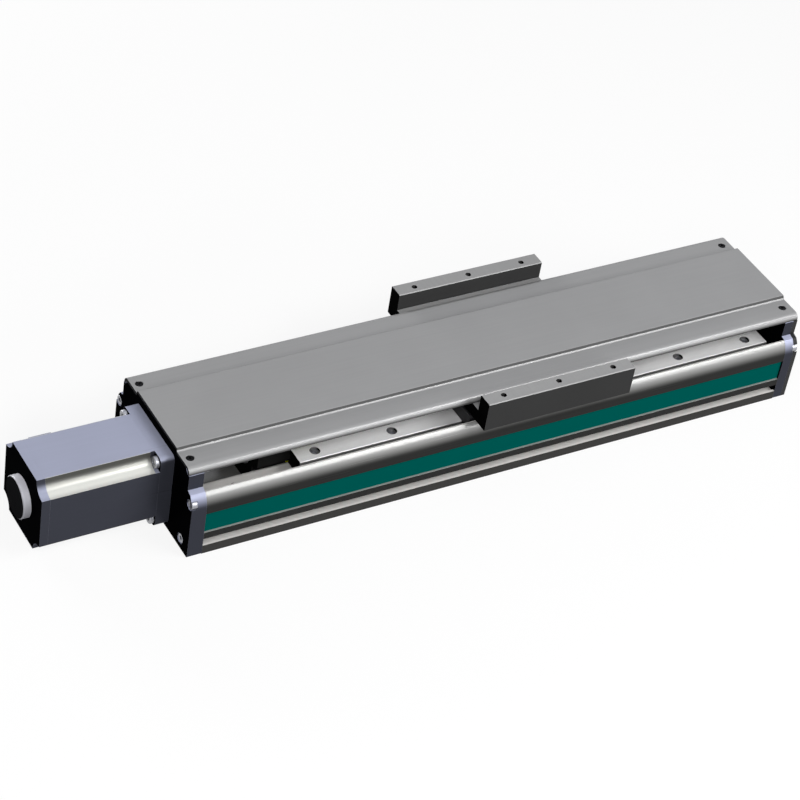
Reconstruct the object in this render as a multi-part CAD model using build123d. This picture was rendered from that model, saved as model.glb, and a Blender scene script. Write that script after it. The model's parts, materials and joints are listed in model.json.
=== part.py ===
from build123d import *
import os
from math import radians, sqrt, tan

# A ball screw linear module. +X runs along the travel, away from the motor.
# +Y is the side of the motor's plug, +Z is up.
# The origin is the centre of the base extrusion's bottom face.

# Base extrusion
base_length = 473.0
base_width = 120.0
base_side_height = 40.0
wall_top = 52.6
wall_lean = 4.6
wall_lip = 1.0
wall_thickness = 6.7
wall_ledge_height = 46.5
seat_height = 31.5
seat_overhang = 0.3
seat_groove_width = 1.0
seat_groove_depth = 0.6
ledge_height = 24.2
channel_half_width = 20.5
floor_height = 10.0
bottom_chamfer = 0.8
slot_mouth_low = 8.0
slot_mouth_high = 14.0
slot_lip = 2.0
slot_depth = 7.5
slot_undercut = 1.5
strip_low = 19.5
strip_high = 36.5
strip_recess = 2.2
strip_thickness = 0.8
strip_play = 0.1
base_hole_radius = 2.75
base_hole_end_distance = 45.5

# Screw axis
axis_rise = 3.5

# End plates and cap
motor_plate_thickness = 11.0
far_plate_thickness = 7.5
far_cap_thickness = 3.5
plate_foot_gap = 0.4
plate_top_inset = 8.5
plate_edge_relief = 0.2
plate_neck = 1.2
pilot_radius = 25.0
pilot_play = 0.05
pilot_depth = 3.0
upper_plate_screw_inset = 3.8
upper_plate_screw_height = 45.0
lower_plate_screw_inset = 11.7
lower_plate_screw_height = 8.3

# Cover
cover_thickness = 2.0
cover_web_gap = 3.5
cover_middle_rise = 2.7
cover_step_share = 29.8 / 51
cover_step_run = 2.7
cover_inset = 9.0
cover_edge_radius = 4.5
cover_lip_straight = 0.4
cover_screw_inset = 11.1
step_pull = 1.1

# Linear guides
rail_width = 15.0
rail_height = 12.5
rail_waist = 1.6
rail_shares = (0.32, 0.45, 0.62, 0.75)
rail_near_gap = 77.5
rail_far_gap = 5.5
rail_pitch = 60.0
rail_first_hole = 15.0
rail_bore_radius = 3.75
rail_bore_depth = 5.3
guide_play = 0.3
block_width_share = 17 / 60
block_wall_gap = 0.6
block_height = 24.0
block_underside = 4.5
block_steel_length = 44.0
block_cap_length = 8.0
block_cap_setback = 0.4
block_spacing = 62.0
block_screw_half_pitch = 13.0
block_screw_inset = 4.0
block_edge_chamfer = 1.2

# Carriage plate
carriage_x = 28.7
carriage_length = 120.0
carriage_overhang = 9.5
ear_inset = 2.0
ear_rise = 8.0
web_side_thickness = 10.0
web_middle_thickness = 15.0
web_step_inner = 20.5
web_step_run = 6.5
web_screw_depth = 5.0
ear_hole_inset = 6.2
ear_hole_pitch = 45.0
ear_hole_radius = 2.1
ear_hole_depth = 14.0
edge_break = 0.5

# Ball screw, nut and bracket
screw_radius = 7.6
journal_radius = 6.0
tip_radius = 5.0
far_journal_radius = 5.0
tip_length = 17.5
tip_distance = 29.5
far_journal_extra = 3.0
nut_play = 0.08
nut_body_radius = 14.0
nut_length = 57.0
nut_flange_radius = 22.5
nut_flange_thickness = 10.0
nut_distance = 72.7
nut_screw_circle_radius = 17.5
nut_screw_count = 6
bracket_block_gap = 0.5
bracket_wall_length = 20.0
bracket_foot_length = 26.0
bracket_foot_play = 0.6
bracket_below_axis = 22.0
bracket_screw_inset = 4.2
bracket_screw_shares = (0.27, 0.77)
bracket_chamfer = 3.0

# Fixed bearing block, on the motor side
fixed_block_distance = 54.5
fixed_block_length = 26.0
fixed_block_rail_gap = 1.5
fixed_block_rise = 23.5
fixed_block_corner = 6.0
fixed_block_chamfer = 4.0
block_ledge_gap = 4.0
block_tongue_play = 0.8
fixed_bearing_radius = 16.0
bearing_width = 10.0
fixed_bearing_recess = 4.0
retaining_ring_inner = 11.5
retaining_ring_sink = 0.5
lock_nut_radius = 10.5
lock_nut_length = 5.0
cage_play = 0.1

# Far bearing block
far_block_length = 23.5
far_block_gap = 6.0
far_block_rise = 22.0
far_block_corner = 2.0
far_bearing_radius = 15.0
far_bearing_width = 9.0
circlip_width = 1.0
circlip_rise = 2.0
block_wall = 4.0
block_bore_radius = 9.5
block_screw_offset = 12.0
block_screw_half_span = 7.5

# Buffers
fixed_buffer_thickness = 12.0
fixed_buffer_inset = 4.0
fixed_buffer_rise = 22.0
fixed_buffer_corner = 8.0
fixed_buffer_drop = 8.0
fixed_buffer_floor_gap = 3.0
fixed_buffer_screw_wall = 2.1
fixed_buffer_edge_wall = 0.2
fixed_buffer_head_cover = 1.5
far_buffer_thickness = 11.0
far_buffer_radius = 22.4
buffer_washer_thickness = 2.4
buffer_washer_radius = 17.8
buffer_window_radius = 3.4
buffer_hole_circle_radius = 13.4
buffer_screw_angle = 45.0

# Motor
motor_width = 60.0
motor_flange_thickness = 10.0
motor_flange_corner = 4.0
motor_housing_length = 77.5
motor_rear_thickness = 6.0
motor_scallop_radius = 10.0
motor_pocket_length = 3.2
motor_pocket_reach = 10.4
motor_screw_circle_radius = 35.0
motor_bore_radius = 27.4
motor_spigot = 4.5
motor_body_corner = 0.4
motor_bore_wall = 1.6
motor_bearing_inset = 1.5
motor_rear_floor = 2.0
motor_shaft_end_gap = 0.5
motor_shaft_play = 1.0
motor_shaft_radius = 7.0
motor_shaft_reach = 30.0
motor_bearing_radius = 16.0
motor_bearing_width = 9.0
motor_bearing_seat_radius = 7.5
motor_rotor_radius = 18.0
motor_rotor_length = 40.0
motor_air_gap = 0.5
motor_stator_length = 50.0
encoder_radius = 15.0
encoder_depth = 5.5
encoder_chamfer = 0.6
plug_length = 26.0
plug_outer_length = 16.0
plug_height = 15.0
plug_reach = 14.0
plug_rear_distance = 30.0
plug_wall = 2.0
plug_room_depth = 8.0

# Coupling
coupling_radius = 15.0
coupling_hub_length = 18.5
coupling_jaw_length = 8.0
coupling_jaw_count = 3
coupling_jaw_inner = 8.0
coupling_start_gap = 0.8
coupling_play = 0.2
spider_ring_depth = 2.5
spider_rim_gap = 0.5
spider_arm_overlap = 1.0
set_screw_gap = 0.1
set_screw_sink = 1.0

# Fasteners: shank radius, head radius, head height
m3 = (1.5, 2.8, 1.7)
m4 = (2.0, 3.5, 4.0)
m5 = (2.5, 4.25, 5.0)
m5_low = (2.5, 4.25, 2.8)
screw_play = 0.05
clearance_play = 0.25
head_play = 0.5
thread_reach = 8.0
head_cover = 0.3
hole_end_room = 1.0
screw_end_gap = 0.5

# How far a cut reaches past the face it opens
past = 1.0

# Hole radii and places worked out from the sizes above
m3_tapped = m3[0] + screw_play
m4_tapped = m4[0] + screw_play
m5_tapped = m5[0] + screw_play
m3_clear = m3[0] + clearance_play
m4_clear = m4[0] + clearance_play
m5_clear = m5[0] + clearance_play
blind_depth = thread_reach + hole_end_room
axis_height = seat_height + axis_rise
web_bottom = seat_height + block_height
cover_side_under = web_bottom + web_side_thickness + cover_web_gap
cover_side_top = cover_side_under + cover_thickness
ear_height = cover_side_top + ear_rise
fixed_block_top = axis_height + fixed_block_rise
far_block_top = axis_height + far_block_rise
fixed_buffer_top = axis_height + fixed_buffer_rise
fixed_buffer_low = axis_height - fixed_buffer_drop
base_side = base_width / 2
wall_inner = base_side - wall_thickness
block_width = base_width * block_width_share
rail_offset = wall_inner - block_wall_gap - block_width / 2
seat_inner = rail_offset - rail_width / 2 + seat_overhang
base_hole_offset = (channel_half_width + seat_inner) / 2
plate_top_half_width = base_side - plate_top_inset
upper_plate_screw_offset = base_side - upper_plate_screw_inset
lower_plate_screw_offset = base_side - lower_plate_screw_inset
cover_half_width = base_side - cover_inset
cover_step_inner = cover_half_width * cover_step_share
cover_screw_offset = cover_half_width - cover_screw_inset
carriage_half_width = base_side + carriage_overhang
ear_inner = base_side - ear_inset
ear_hole_offset = carriage_half_width - ear_hole_inset
bracket_half_width = rail_offset - block_width / 2 - bracket_block_gap
bracket_screw_offset = bracket_half_width - bracket_screw_inset
fixed_block_half_width = seat_inner - fixed_block_rail_gap
fixed_buffer_half_width = fixed_block_half_width - fixed_buffer_inset
block_tongue_half_width = channel_half_width - block_tongue_play
base_start = -base_length / 2
base_end = base_length / 2
motor_plate_x = base_start - motor_plate_thickness
far_plate_x = base_end + far_plate_thickness
far_cap_x = far_plate_x + far_cap_thickness
cover_lip_end = cover_side_top - cover_edge_radius - cover_lip_straight
rail_length = base_length - rail_near_gap - rail_far_gap
rail_x = base_start + rail_near_gap
rail_top = seat_height + rail_height
rail_hole_count = int((rail_length - 2 * rail_first_hole) / rail_pitch) + 1
fixed_block_x = base_start + fixed_block_distance
fixed_block_end = fixed_block_x + fixed_block_length
fixed_bearing_x = fixed_block_x + fixed_bearing_recess
fixed_bearing_end = fixed_bearing_x + 2 * bearing_width
fixed_buffer_end = fixed_block_end + fixed_buffer_thickness
fixed_buffer_seat = fixed_buffer_end - m4[2] - fixed_buffer_head_cover
far_block_x = base_end - far_block_gap - far_block_length
far_bearing_x = far_block_x + block_wall
far_bearing_end = far_bearing_x + far_bearing_width
far_buffer_x = far_block_x - far_buffer_thickness
washer_x = far_buffer_x - buffer_washer_thickness
nut_start = carriage_x - nut_distance
nut_seat_x = nut_start + nut_flange_thickness
tip_start = base_start + tip_distance
journal_x = tip_start + tip_length
housing_end = motor_plate_x - motor_flange_thickness
housing_start = housing_end - motor_housing_length
motor_rear_x = housing_start - motor_rear_thickness
front_bearing_x = housing_end - motor_spigot + motor_bearing_inset
front_bearing_end = front_bearing_x + motor_bearing_width
rear_bearing_x = motor_rear_x + motor_rear_floor
motor_shaft_end = motor_plate_x + motor_shaft_reach
coupling_x = motor_plate_x + motor_plate_thickness + coupling_start_gap
sides = (-1, 1)
side_names = {-1: "front", 1: "rear"}
end_names = {-1: "left", 1: "right"}


def box(x0, x1, y0, y1, z0, z1):
    """A block between two corners."""
    centre = Pos((x0 + x1) / 2, (y0 + y1) / 2, (z0 + z1) / 2)
    return centre * Box(x1 - x0, y1 - y0, z1 - z0)


def rod(x0, x1, radius, y=0.0, z=axis_height):
    """A round bar along X, on the screw axis unless told otherwise."""
    return Pos((x0 + x1) / 2, y, z) * Rot(0, 90, 0) * Cylinder(radius, x1 - x0)


def post(z0, z1, radius, x, y):
    """A round bar along Z."""
    return Pos(x, y, (z0 + z1) / 2) * Cylinder(radius, z1 - z0)


def tube(x0, x1, outer, inner):
    """A ring along X, on the screw axis."""
    return rod(x0, x1, outer) - rod(x0, x1, inner)


def prism(face, x0, x1):
    """A section drawn with Y across and Z up, drawn out from x0 to x1."""
    section = Pos(x0, 0, 0) * (Plane.YZ * face)
    return extrude(section, amount=x1 - x0, dir=(1, 0, 0))


def whole(half):
    """Closes a half outline, drawn from the centre plane to the centre plane, by its mirror image."""
    return make_face(half + mirror(half, Plane.YZ))


def rounded(width, low, high, radius):
    """A rectangle about the centre plane with its upper corners rounded."""
    face = Pos(0, (low + high) / 2) * Rectangle(width, high - low)
    upper = face.vertices().group_by(Axis.Y)[-1]
    return fillet(upper, radius)


def fuse(parts):
    """Gathers solids that stay separate in one node."""
    return Compound(children=list(parts))


def socket_screw(size, length, head_at_low=True):
    """A cap screw along +Z, with the underside of its head at z = 0 and its shank upward or downward."""
    shank_radius, head_radius, head_height = size
    up = 1 if head_at_low else -1
    shank = Pos(0, 0, up * length / 2) * Cylinder(shank_radius, length)
    head = Pos(0, 0, -up * head_height / 2) * Cylinder(head_radius, head_height)
    return shank + head


def screw_along_x(size, x, y, z, length, towards):
    """A cap screw with the underside of its head at x and its shank towards +X or -X."""
    shank_radius, head_radius, head_height = size
    shank = rod(min(x, x + towards * length), max(x, x + towards * length), shank_radius, y, z)
    head = rod(min(x, x - towards * head_height), max(x, x - towards * head_height), head_radius, y, z)
    return shank + head


def step(y_in, run, high, low):
    """The rounded step of the cover and plates, from the raised middle down to the side."""
    return Spline(
        (y_in, high), (y_in + run, low), tangents=[(1, 0), (1, 0)], tangent_scalars=[step_pull, step_pull]
    )


def shoulder(width, side_height, top, lean):
    """The round shoulder of a side wall: an arc that leaves the flat side upright."""
    rise = top - side_height
    radius = (lean ** 2 + rise ** 2) / (2 * lean)
    centre = width / 2 - radius
    half_way = side_height + rise / 2
    middle = (centre + sqrt(radius ** 2 - (half_way - side_height) ** 2), half_way)
    return ThreePointArc((width / 2, side_height), middle, (width / 2 - lean, top))


def base_section():
    """The open channel of the base: seats for the rails, ledges, screw channel, slots and side recesses."""
    side = base_side
    slot_floor = side - slot_depth
    slot_inside = side - slot_lip
    lip_outer = side - wall_lean
    lip_inner = lip_outer - wall_lip
    outer = Polyline(
        (0, 0),
        (side - bottom_chamfer, 0),
        (side, bottom_chamfer),
        (side, slot_mouth_low),
        (slot_inside, slot_mouth_low),
        (slot_inside, slot_mouth_low - slot_undercut),
        (slot_floor, slot_mouth_low - slot_undercut),
        (slot_floor, slot_mouth_high + slot_undercut),
        (slot_inside, slot_mouth_high + slot_undercut),
        (slot_inside, slot_mouth_high),
        (side, slot_mouth_high),
        (side, strip_low),
        (side - strip_recess, strip_low),
        (side - strip_recess, strip_high),
        (side, strip_high),
        (side, base_side_height),
    )
    groove = rail_offset + rail_width / 2
    inner = Polyline(
        (lip_outer, wall_top),
        (lip_inner, wall_top),
        (lip_inner, wall_ledge_height),
        (wall_inner, wall_ledge_height),
        (wall_inner, seat_height),
        (groove + seat_groove_width, seat_height),
        (groove + seat_groove_width, seat_height - seat_groove_depth),
        (groove, seat_height - seat_groove_depth),
        (groove, seat_height),
        (seat_inner, seat_height),
        (seat_inner, ledge_height),
        (channel_half_width, ledge_height),
        (channel_half_width, floor_height),
        (0, floor_height),
    )
    return whole(outer + shoulder(base_width, base_side_height, wall_top, wall_lean) + inner)


def rail_hole_places():
    """Centres of the rail screws along one rail."""
    return [rail_x + rail_first_hole + number * rail_pitch for number in range(rail_hole_count)]


def plate_screw_places():
    """The four end plate screws, as y and z."""
    upper = [(side * upper_plate_screw_offset, upper_plate_screw_height) for side in sides]
    lower = [(side * lower_plate_screw_offset, lower_plate_screw_height) for side in sides]
    return upper + lower


def block_screw_places():
    """The eight screws that hold the two bearing blocks from below, as x and y."""
    fixed_centre = fixed_block_x + fixed_block_length / 2
    far_centre = far_block_x + far_block_length / 2
    return [
        (centre + along * block_screw_half_span, side * block_screw_offset)
        for centre in (fixed_centre, far_centre)
        for along in sides
        for side in sides
    ]


def base_hole_places():
    """The four holes that fasten the module to a machine, as x and y."""
    reach = base_length / 2 - base_hole_end_distance
    return [(along * reach, side * base_hole_offset) for along in sides for side in sides]


def make_base():
    base = prism(base_section(), base_start, base_end)
    holes = []
    for side in sides:
        spare = rail_hole_places()[0] - rail_pitch
        for x in rail_hole_places() + [spare]:
            y = side * rail_offset
            holes.append(post(seat_height - blind_depth, seat_height + past, m4_tapped, x, y))
    for x, y in base_hole_places():
        holes.append(post(-past, ledge_height + past, base_hole_radius, x, y))
    for y, z in plate_screw_places():
        holes.append(rod(base_start - past, base_start + blind_depth, m4_tapped, y, z))
        holes.append(rod(base_end - blind_depth, base_end + past, m4_tapped, y, z))
    for x, y in block_screw_places():
        holes.append(post(-past, m5[2] + head_play, m5[1] + clearance_play, x, y))
        holes.append(post(0, floor_height + past, m5_clear, x, y))
    return base - holes


def plate_section():
    """The outline of an end plate: flush with the base's sides, its top carries the cover."""
    side = base_side
    shoulder_end = side - wall_lean
    relief = cover_lip_end - plate_edge_relief
    lip_inner = cover_half_width - cover_thickness - plate_edge_relief
    lower = Polyline(
        (0, plate_foot_gap),
        (side - bottom_chamfer, plate_foot_gap),
        (side, plate_foot_gap + bottom_chamfer),
        (side, base_side_height),
    )
    upper = Polyline(
        (shoulder_end, wall_top),
        (plate_top_half_width, wall_top + plate_neck),
        (plate_top_half_width, relief),
        (lip_inner, relief),
        (lip_inner - (cover_side_under - relief), cover_side_under),
        (cover_step_inner + cover_step_run, cover_side_under),
    )
    middle_top = cover_side_under + cover_middle_rise
    rise = step(cover_step_inner, cover_step_run, middle_top, cover_side_under)
    top = Line((cover_step_inner, middle_top), (0, middle_top))
    return whole(lower + shoulder(base_width, base_side_height, wall_top, wall_lean) + upper + rise + top)


def cover_screw_places():
    """The four cover screws, over the middle of each end plate, as x and y."""
    near = base_start - motor_plate_thickness / 2
    far = base_end + far_plate_thickness / 2
    return [(x, side * cover_screw_offset) for x in (near, far) for side in sides]


def plate_holes(start, end, head_end, head_depth):
    """Screw holes through an end plate, with room for the heads from the outside."""
    holes = []
    outside = -1 if head_end == start else 1
    for y, z in plate_screw_places():
        holes.append(rod(start - past, end + past, m4_clear, y, z))
        seat = head_end - outside * head_depth
        mouth = head_end + outside * past
        holes.append(rod(min(seat, mouth), max(seat, mouth), m4[1] + head_play, y, z))
    for x, y in cover_screw_places():
        if start < x < end:
            low = cover_side_under - blind_depth
            holes.append(post(low, cover_side_under + past, m3_tapped, x, y))
    return holes


def make_motor_plate():
    plate = prism(plate_section(), motor_plate_x, base_start)
    head_depth = m4[2] + head_cover
    plate -= plate_holes(motor_plate_x, base_start, motor_plate_x, head_depth)
    plate -= rod(motor_plate_x - past, base_start + past, pilot_radius)
    for y, z in motor_screw_places():
        plate -= rod(motor_plate_x - past, motor_plate_x + blind_depth, m5_tapped, y, z)
    return plate


def make_far_plate():
    plate = prism(plate_section(), base_end, far_plate_x)
    head_depth = m4[2] + head_cover - far_cap_thickness
    return plate - plate_holes(base_end, far_plate_x, far_plate_x, head_depth)


def make_far_cap():
    cap = prism(plate_section(), far_plate_x, far_cap_x)
    for y, z in plate_screw_places():
        cap -= rod(far_plate_x - past, far_cap_x + past, m4[1] + head_play, y, z)
    return cap


def make_plate_screws():
    head_depth = m4[2] + head_cover
    near = motor_plate_x + head_depth
    far = far_cap_x - head_depth
    near_length = base_start - near + thread_reach
    far_length = far - base_end + thread_reach
    screws = [screw_along_x(m4, near, y, z, near_length, 1) for y, z in plate_screw_places()]
    screws += [screw_along_x(m4, far, y, z, far_length, -1) for y, z in plate_screw_places()]
    return fuse(screws)


def make_strip(side):
    inner = base_side - strip_recess
    outer = inner + strip_thickness
    low = min(side * inner, side * outer)
    high = max(side * inner, side * outer)
    return box(base_start, base_end, low, high, strip_low + strip_play, strip_high - strip_play)


def rail_section(play=0.0):
    """The rail's section: a straight foot, a waist and a head, at set shares of the rail's height."""
    half = rail_width / 2 + play
    waist = half - rail_waist
    low = seat_height - (past if play else 0)
    top = rail_top + play
    foot, waist_low, waist_high, head = [seat_height + rail_height * share for share in rail_shares]
    outline = Polyline(
        (0, low),
        (half, low),
        (half, foot),
        (waist, waist_low),
        (waist, waist_high),
        (half, head),
        (half, top - edge_break),
        (half - edge_break, top),
        (0, top),
    )
    return whole(outline)


def make_rail(side):
    rail = Pos(0, side * rail_offset, 0) * prism(rail_section(), rail_x, rail_x + rail_length)
    for x in rail_hole_places():
        rail -= post(seat_height - past, rail_top + past, m4_clear, x, side * rail_offset)
        rail -= post(rail_top - rail_bore_depth, rail_top + past, rail_bore_radius, x, side * rail_offset)
    return rail


def make_rail_screws():
    seat = rail_top - rail_bore_depth
    length = seat - seat_height + thread_reach
    places = [(x, side * rail_offset) for side in sides for x in rail_hole_places()]
    return fuse([Pos(x, y, seat) * socket_screw(m4, length, False) for x, y in places])


def block_places():
    """Centres of the four slider blocks: name, x and y."""
    return [
        (f"{side_names[side]}_{end_names[along]}", carriage_x + along * block_spacing / 2, side)
        for side in sides
        for along in sides
    ]


def block_section(setback):
    """The slider block's section: a saddle over the rail."""
    low = seat_height + block_underside + setback
    top = web_bottom - setback
    face = Pos(0, (low + top) / 2) * Rectangle(block_width - 2 * setback, top - low)
    face = chamfer(face.vertices(), block_edge_chamfer)
    return face - rail_section(guide_play)


def make_block(x, side):
    half = block_steel_length / 2
    block = Pos(0, side * rail_offset, 0) * prism(block_section(0.0), x - half, x + half)
    for dx in sides:
        for dy in sides:
            y = side * rail_offset + dy * (block_width / 2 - block_screw_inset)
            hole_x = x + dx * block_screw_half_pitch
            low = web_bottom - blind_depth
            block -= post(low, web_bottom + past, m4_tapped, hole_x, y)
    return block


def make_block_caps():
    caps = []
    for _, x, side in block_places():
        for along in sides:
            near = x + along * block_steel_length / 2
            far = near + along * block_cap_length
            section = block_section(block_cap_setback)
            caps.append(Pos(0, side * rail_offset, 0) * prism(section, min(near, far), max(near, far)))
    return fuse(caps)


def carriage_screw_places():
    """The sixteen screws from the carriage plate into the slider blocks, as x and y."""
    return [
        (x + dx * block_screw_half_pitch, side * rail_offset + dy * (block_width / 2 - block_screw_inset))
        for _, x, side in block_places()
        for dx in sides
        for dy in sides
    ]


def bracket_screw_places():
    """The four screws that hold the nut bracket up under the carriage plate, as x and y."""
    foot_start = nut_seat_x + bracket_wall_length
    places = [foot_start + bracket_foot_length * share for share in bracket_screw_shares]
    return [(x, side * bracket_screw_offset) for x in places for side in sides]


def make_carriage_plate():
    side_top = web_bottom + web_side_thickness
    middle_top = web_bottom + web_middle_thickness
    outer = Polyline(
        (0, web_bottom),
        (carriage_half_width - edge_break, web_bottom),
        (carriage_half_width, web_bottom + edge_break),
        (carriage_half_width, ear_height - edge_break),
        (carriage_half_width - edge_break, ear_height),
        (ear_inner + edge_break, ear_height),
        (ear_inner, ear_height - edge_break),
        (ear_inner, side_top),
        (web_step_inner + web_step_run, side_top),
    )
    rise = step(web_step_inner, web_step_run, middle_top, side_top)
    section = whole(outer + rise + Line((web_step_inner, middle_top), (0, middle_top)))
    half = carriage_length / 2
    plate = prism(section, carriage_x - half, carriage_x + half)
    seat = web_bottom + web_screw_depth
    holes = []
    for x, y in carriage_screw_places():
        holes.append(post(web_bottom - past, seat + past, m4_clear, x, y))
        holes.append(post(seat, middle_top + past, m4[1] + head_play, x, y))
    for x, y in ear_hole_places():
        holes.append(post(ear_height - ear_hole_depth, ear_height + past, ear_hole_radius, x, y))
    for x, y in bracket_screw_places():
        holes.append(post(web_bottom - past, web_bottom + blind_depth, m4_tapped, x, y))
    return plate - holes


def ear_hole_places():
    """The six tapped holes in the carriage's ears, as x and y."""
    return [
        (carriage_x + number * ear_hole_pitch, side * ear_hole_offset)
        for side in sides
        for number in (-1, 0, 1)
    ]


def make_carriage_screws():
    seat = web_bottom + web_screw_depth
    length = web_screw_depth + thread_reach
    return fuse([Pos(x, y, seat) * socket_screw(m4, length, False) for x, y in carriage_screw_places()])


def nut_screw_places():
    """The nut's flange screws, as y and z."""
    spots = PolarLocations(nut_screw_circle_radius, nut_screw_count, start_angle=30)
    return [(spot.position.X, axis_height + spot.position.Y) for spot in spots]


def make_ball_nut():
    nut = rod(nut_start, nut_seat_x, nut_flange_radius)
    nut += rod(nut_seat_x, nut_start + nut_length, nut_body_radius)
    rims = nut.edges().filter_by(GeomType.CIRCLE).sort_by(Axis.X)
    nut = chamfer([rims[0], rims[-1]], edge_break)
    nut -= rod(nut_start - past, nut_start + nut_length + past, screw_radius + nut_play)
    for y, z in nut_screw_places():
        nut -= rod(nut_start - past, nut_seat_x + past, m4_clear, y, z)
        nut -= rod(nut_start - past, nut_start + m4[2] + head_cover, m4[1] + head_cover, y, z)
    return nut


def make_nut_bracket():
    foot_low = axis_height + nut_body_radius + bracket_foot_play
    wall_end = nut_seat_x + bracket_wall_length
    low = axis_height - bracket_below_axis
    bracket = box(nut_seat_x, wall_end, -bracket_half_width, bracket_half_width, low, web_bottom)
    foot_end = wall_end + bracket_foot_length
    bracket += box(wall_end, foot_end, -bracket_half_width, bracket_half_width, foot_low, web_bottom)
    bracket -= rod(nut_seat_x - past, wall_end + past, nut_body_radius + screw_play)
    bracket = chamfer(bracket.edges().filter_by(Axis.X).group_by(Axis.Z)[0], bracket_chamfer)
    for y, z in nut_screw_places():
        bracket -= rod(nut_seat_x - past, nut_seat_x + blind_depth, m4_tapped, y, z)
    for x, y in bracket_screw_places():
        bracket -= post(foot_low - past, web_bottom + past, m4_clear, x, y)
    return bracket


def make_nut_screws():
    seat = nut_start + m4[2] + head_cover
    length = nut_seat_x - seat + thread_reach
    return fuse([screw_along_x(m4, seat, y, z, length, 1) for y, z in nut_screw_places()])


def make_bracket_screws():
    foot_low = axis_height + nut_body_radius + bracket_foot_play
    length = web_bottom - foot_low + thread_reach
    return fuse([Pos(x, y, foot_low) * socket_screw(m4, length) for x, y in bracket_screw_places()])


def make_ball_screw():
    screw = rod(tip_start, journal_x, tip_radius)
    screw += rod(journal_x, fixed_bearing_end, journal_radius)
    screw += rod(fixed_bearing_end, far_bearing_x, screw_radius)
    screw += rod(far_bearing_x, far_bearing_end + far_journal_extra, far_journal_radius)
    ends = screw.edges().filter_by(GeomType.CIRCLE).sort_by(Axis.X)
    return chamfer([ends[0], ends[-1]], edge_break)


def bearing_ring(x, width, count, outer, inner):
    """One or more equal bearing rings side by side."""
    return fuse([tube(x + n * width, x + (n + 1) * width, outer, inner) for n in range(count)])


def ring_radii(outer, inner):
    """The radii that split a ball bearing into outer ring, balls with their cage, and inner ring."""
    third = (outer - inner) / 3
    return outer - third, inner + third


def make_fixed_block():
    section = Pos(0, (floor_height + axis_height) / 2) * Rectangle(
        2 * block_tongue_half_width, axis_height - floor_height
    )
    low = ledge_height + block_ledge_gap
    head = rounded(2 * fixed_block_half_width, low, fixed_block_top, fixed_block_corner)
    head = chamfer(head.vertices().group_by(Axis.Y)[0], fixed_block_chamfer)
    block = prism(section + head, fixed_block_x, fixed_block_end)
    block -= rod(fixed_block_x - past, fixed_bearing_end, fixed_bearing_radius + screw_play)
    block -= rod(fixed_block_x, fixed_block_end + past, block_bore_radius)
    for x, y in block_screw_places():
        if fixed_block_x < x < fixed_block_end:
            block -= post(floor_height - past, floor_height + blind_depth, m5_tapped, x, y)
    for y, z in fixed_buffer_screw_places():
        block -= rod(fixed_block_end - blind_depth, fixed_block_end + past, m4_tapped, y, z)
    return block


def fixed_buffer_screw_places():
    """The two screws of the motor side buffer, as y and z."""
    circle = fixed_bearing_radius + m4[0] + fixed_buffer_screw_wall
    reach = fixed_buffer_half_width - m4[1] - head_cover - fixed_buffer_edge_wall
    rise = sqrt(circle ** 2 - reach ** 2)
    return [(side * reach, axis_height + rise) for side in sides]


def make_fixed_buffer():
    section = rounded(2 * fixed_buffer_half_width, fixed_buffer_low, fixed_buffer_top, fixed_buffer_corner)
    low = floor_height + fixed_buffer_floor_gap
    section += Pos(0, (low + axis_height) / 2) * Rectangle(2 * block_tongue_half_width, axis_height - low)
    buffer = prism(section, fixed_block_end, fixed_buffer_end)
    buffer -= rod(fixed_block_end - past, fixed_buffer_end + past, block_bore_radius)
    for y, z in fixed_buffer_screw_places():
        buffer -= rod(fixed_block_end - past, fixed_buffer_end + past, m4_clear, y, z)
        buffer -= rod(fixed_buffer_seat, fixed_buffer_end + past, m4[1] + head_cover, y, z)
    return buffer


def far_buffer_places(shift):
    """Four spots round the far buffer's middle, as y and z."""
    spots = PolarLocations(buffer_hole_circle_radius, 4, start_angle=shift)
    return [(spot.position.X, axis_height + spot.position.Y) for spot in spots]


def make_far_block():
    section = rounded(2 * block_tongue_half_width, floor_height, far_block_top, far_block_corner)
    end = far_block_x + far_block_length
    block = prism(section, far_block_x, end)
    block -= rod(far_bearing_x, end + past, far_bearing_radius + screw_play)
    block -= rod(far_block_x - past, end, block_bore_radius)
    for x, y in block_screw_places():
        if far_block_x < x < end:
            block -= post(floor_height - past, floor_height + blind_depth, m5_tapped, x, y)
    for y, z in far_buffer_places(buffer_screw_angle):
        block -= rod(far_block_x - past, far_bearing_x + past, m3_tapped, y, z)
    return block


def make_far_buffer():
    buffer = rod(far_buffer_x, far_block_x, far_buffer_radius)
    buffer -= rod(far_buffer_x - past, far_block_x + past, block_bore_radius)
    for y, z in far_buffer_places(buffer_screw_angle):
        buffer -= rod(far_buffer_x - past, far_block_x + past, m3_clear, y, z)
    return buffer


def make_buffer_washer():
    washer = rod(washer_x, far_buffer_x, buffer_washer_radius)
    washer -= rod(washer_x - past, far_buffer_x + past, block_bore_radius)
    for y, z in far_buffer_places(buffer_screw_angle):
        washer -= rod(washer_x - past, far_buffer_x + past, m3_clear, y, z)
    for y, z in far_buffer_places(0.0):
        washer -= rod(washer_x - past, far_buffer_x + past, buffer_window_radius, y, z)
    return washer


def make_buffer_screws():
    screws = []
    length = fixed_buffer_seat - fixed_block_end + thread_reach
    for y, z in fixed_buffer_screw_places():
        screws.append(screw_along_x(m4, fixed_buffer_seat, y, z, length, -1))
    length = far_bearing_x - washer_x - screw_end_gap
    for y, z in far_buffer_places(buffer_screw_angle):
        screws.append(screw_along_x(m3, washer_x, y, z, length, 1))
    return fuse(screws)


def make_block_screws():
    length = floor_height - m5[2] - head_play + thread_reach
    seat = m5[2] + head_play
    return fuse([Pos(x, y, seat) * socket_screw(m5, length) for x, y in block_screw_places()])


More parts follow.
